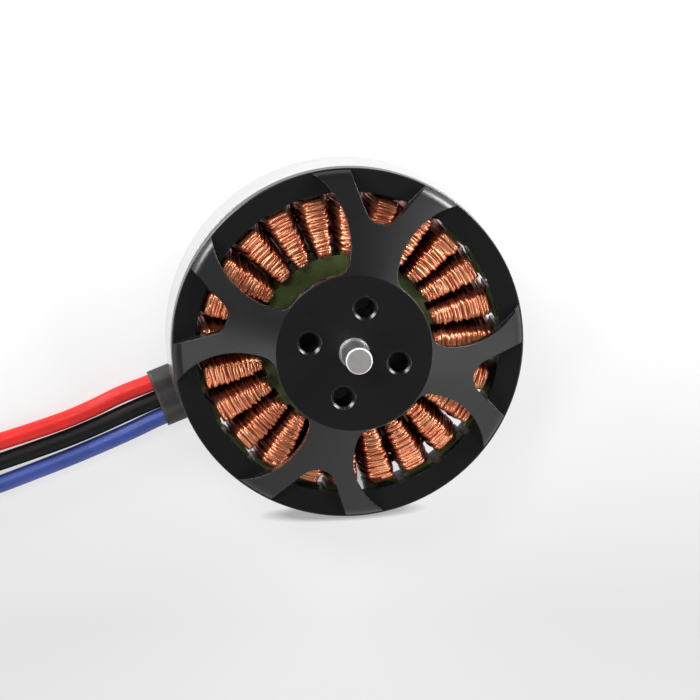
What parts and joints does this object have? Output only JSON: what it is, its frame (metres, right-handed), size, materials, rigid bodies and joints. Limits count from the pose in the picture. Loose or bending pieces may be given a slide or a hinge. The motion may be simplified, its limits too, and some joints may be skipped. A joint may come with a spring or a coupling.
{
  "type": "brushless outrunner motor",
  "caption": "Flat brushless outrunner motor with a spoked black rotor bell, wound stator, stub shaft, tapped mounting feet and three short leads with bullet plugs.",
  "frame": {"origin": "centre of the mounting face, on the shaft axis", "axes": "+Z along the shaft towards the propeller; the leads leave near -X, a little towards -Y"},
  "size_m": [0.1473, 0.0487, 0.0292],
  "materials": {
    "black_anodised": "satin black anodised",
    "polished_steel": "polished",
    "black_epoxy": "black epoxy coat on magnets",
    "ground_steel": "ground",
    "spring_steel": "dark spring steel",
    "bearing_steel": "polished",
    "green_coat": "baked green coat",
    "copper_wire": "enamelled copper wire",
    "shrink_sleeve": "matt heat-shrink",
    "silicone_red": "satin silicone",
    "silicone_black": "satin silicone",
    "silicone_blue": "satin silicone",
    "shrink_red": "heat-shrink",
    "shrink_black": "heat-shrink",
    "shrink_blue": "heat-shrink",
    "gold_plate": "gold plated"
  },
  "bodies": {
    "stator": {"stator_base": "black_anodised", "stator_core": "green_coat", "upper_race_outer": "bearing_steel", "lower_race_outer": "bearing_steel", "upper_balls": "bearing_steel", "lower_balls": "bearing_steel", "upper_shields": "bearing_steel", "lower_shields": "bearing_steel", "lead_sleeve": "shrink_sleeve", "coil_01": "copper_wire", "coil_02": "copper_wire", "coil_03": "copper_wire", "coil_04": "copper_wire", "coil_05": "copper_wire", "coil_06": "copper_wire", "coil_07": "copper_wire", "coil_08": "copper_wire", "coil_09": "copper_wire", "coil_10": "copper_wire", "coil_11": "copper_wire", "coil_12": "copper_wire", "coil_13": "copper_wire", "coil_14": "copper_wire", "coil_15": "copper_wire", "coil_16": "copper_wire", "coil_17": "copper_wire", "coil_18": "copper_wire", "coil_19": "copper_wire", "coil_20": "copper_wire", "coil_21": "copper_wire", "coil_22": "copper_wire", "coil_23": "copper_wire", "coil_24": "copper_wire", "phase_tail_red": "copper_wire", "lead_red": "silicone_red", "plug_red": "gold_plate", "plug_cover_red": "shrink_red", "phase_tail_black": "copper_wire", "lead_black": "silicone_black", "plug_black": "gold_plate", "plug_cover_black": "shrink_black", "phase_tail_blue": "copper_wire", "lead_blue": "silicone_blue", "plug_blue": "gold_plate", "plug_cover_blue": "shrink_blue"},
    "rotor": {"bell": "black_anodised", "flux_ring": "polished_steel", "magnets_north": "black_epoxy", "magnets_south": "black_epoxy", "shaft": "ground_steel", "upper_race_inner": "bearing_steel", "lower_race_inner": "bearing_steel", "shim": "ground_steel", "circlip": "spring_steel"}
  },
  "joints": [
    {"name": "rotor_spin", "type": "hinge", "parent": "stator", "child": "rotor", "pos_m": [0, 0, 0], "axis": [0, 0, 1], "continuous": true}
  ]
}
